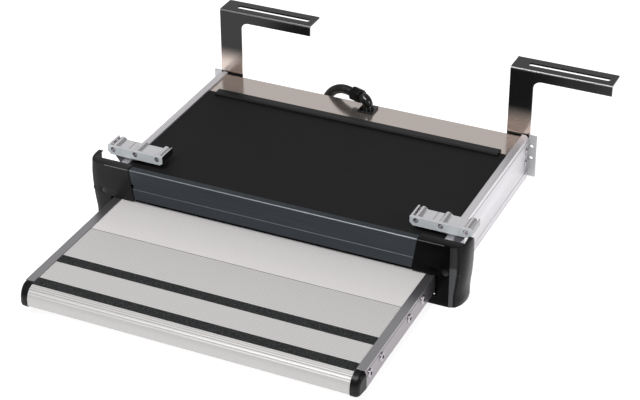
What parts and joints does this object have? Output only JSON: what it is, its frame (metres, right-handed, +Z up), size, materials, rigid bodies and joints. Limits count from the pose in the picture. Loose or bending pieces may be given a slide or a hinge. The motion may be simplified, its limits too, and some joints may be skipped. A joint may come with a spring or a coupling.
{
  "type": "electric slide-out step",
  "caption": "Slide-out entrance step: ribbed aluminium tread on a sliding frame in a flat under-floor cassette, with hanger brackets and front mounting blocks.",
  "frame": {"origin": "on the ground under the middle of the front sill", "axes": "+X along the doorway to the right as seen from outside, +Y under the vehicle, +Z up"},
  "size_m": [0.733, 0.7193, 0.208],
  "materials": {
    "rail_aluminium": "clear anodised, bright",
    "tread_aluminium": "finely ribbed, satin anodised",
    "grey_aluminium": "grey anodised",
    "block_aluminium": "bright mill finish",
    "charcoal_paint": "blue-grey charcoal anodised look, satin",
    "black_cover": "fine matte",
    "black_plastic": "fine grained satin",
    "gloss_black": "gloss",
    "black_rubber": "matte",
    "grip_tape": "coarse grit",
    "stainless": "brushed, satin",
    "zinc_steel": "zinc plated",
    "dark_steel": "dark grey satin",
    "screw_steel": "stainless screw",
    "white_nylon": "natural nylon",
    "bronze": "turned",
    "foot_aluminium": "mill finish, dull grey",
    "polished_steel": "polished stainless"
  },
  "bodies": {
    "cassette": {"side_rail_left": "rail_aluminium", "side_rail_right": "rail_aluminium", "front_profile": "charcoal_paint", "end_cap_left": "black_plastic", "end_cap_right": "black_plastic", "cap_plug_left": "black_plastic", "cap_plug_right": "black_plastic", "top_cover": "black_cover", "cover_strip": "black_rubber", "rear_plate": "stainless", "corner_bracket_left": "stainless", "corner_bracket_right": "stainless", "corner_screws_left": "screw_steel", "corner_screws_right": "screw_steel", "hanger_left": "polished_steel", "hanger_right": "polished_steel", "hanger_bolts_left": "screw_steel", "hanger_bolts_right": "screw_steel", "front_mount_left": "block_aluminium", "front_mount_right": "block_aluminium", "mount_foot_left": "foot_aluminium", "mount_foot_right": "foot_aluminium", "base_pan": "zinc_steel", "front_sill": "zinc_steel", "rear_crossbar": "zinc_steel", "glide_left": "white_nylon", "glide_right": "white_nylon", "spindle_bearing": "zinc_steel", "gearbox": "dark_steel", "gear_motor": "dark_steel", "conduit_elbow": "gloss_black", "conduit_nut": "black_plastic", "conduit_hose": "black_rubber", "conduit_connector": "black_plastic"},
    "step": {"tread_front": "tread_aluminium", "tread_rear": "tread_aluminium", "grip_front": "grip_tape", "grip_rear": "grip_tape", "step_rail_left": "grey_aluminium", "step_rail_right": "grey_aluminium", "step_cap_left": "black_plastic", "step_cap_right": "black_plastic", "rail_screws_left": "screw_steel", "rail_screws_right": "screw_steel", "step_crossbar": "zinc_steel", "nut_bracket": "zinc_steel", "drive_nut": "bronze", "wheel_pin_left": "screw_steel", "wheel_pin_right": "screw_steel"},
    "drive_spindle": {"spindle": "screw_steel"},
    "track_wheel_left": {"wheel_left": "white_nylon"},
    "track_wheel_right": {"wheel_right": "white_nylon"}
  },
  "joints": [
    {"name": "step_slide", "type": "slide", "parent": "cassette", "child": "step", "axis": [0, 1, 0], "range_m": [0, 0.258]},
    {"name": "spindle_turn", "type": "hinge", "parent": "cassette", "child": "drive_spindle", "pos_m": [0, 0.1855, 0.069], "axis": [0, 1, 0], "range_deg": [0, 3720]},
    {"name": "wheel_left_turn", "type": "hinge", "parent": "step", "child": "track_wheel_left", "pos_m": [-0.275, 0.0775, 0.03615], "axis": [-1, 0, 0], "range_deg": [0, 990]},
    {"name": "wheel_right_turn", "type": "hinge", "parent": "step", "child": "track_wheel_right", "pos_m": [0.275, 0.0775, 0.03615], "axis": [-1, 0, 0], "range_deg": [0, 990]}
  ],
  "couplings": [
    {"joint": "spindle_turn", "follows": "step_slide", "rad_per_m": 251.33},
    {"joint": "wheel_left_turn", "follows": "step_slide", "rad_per_m": 66.667},
    {"joint": "wheel_right_turn", "follows": "step_slide", "rad_per_m": 66.667}
  ]
}
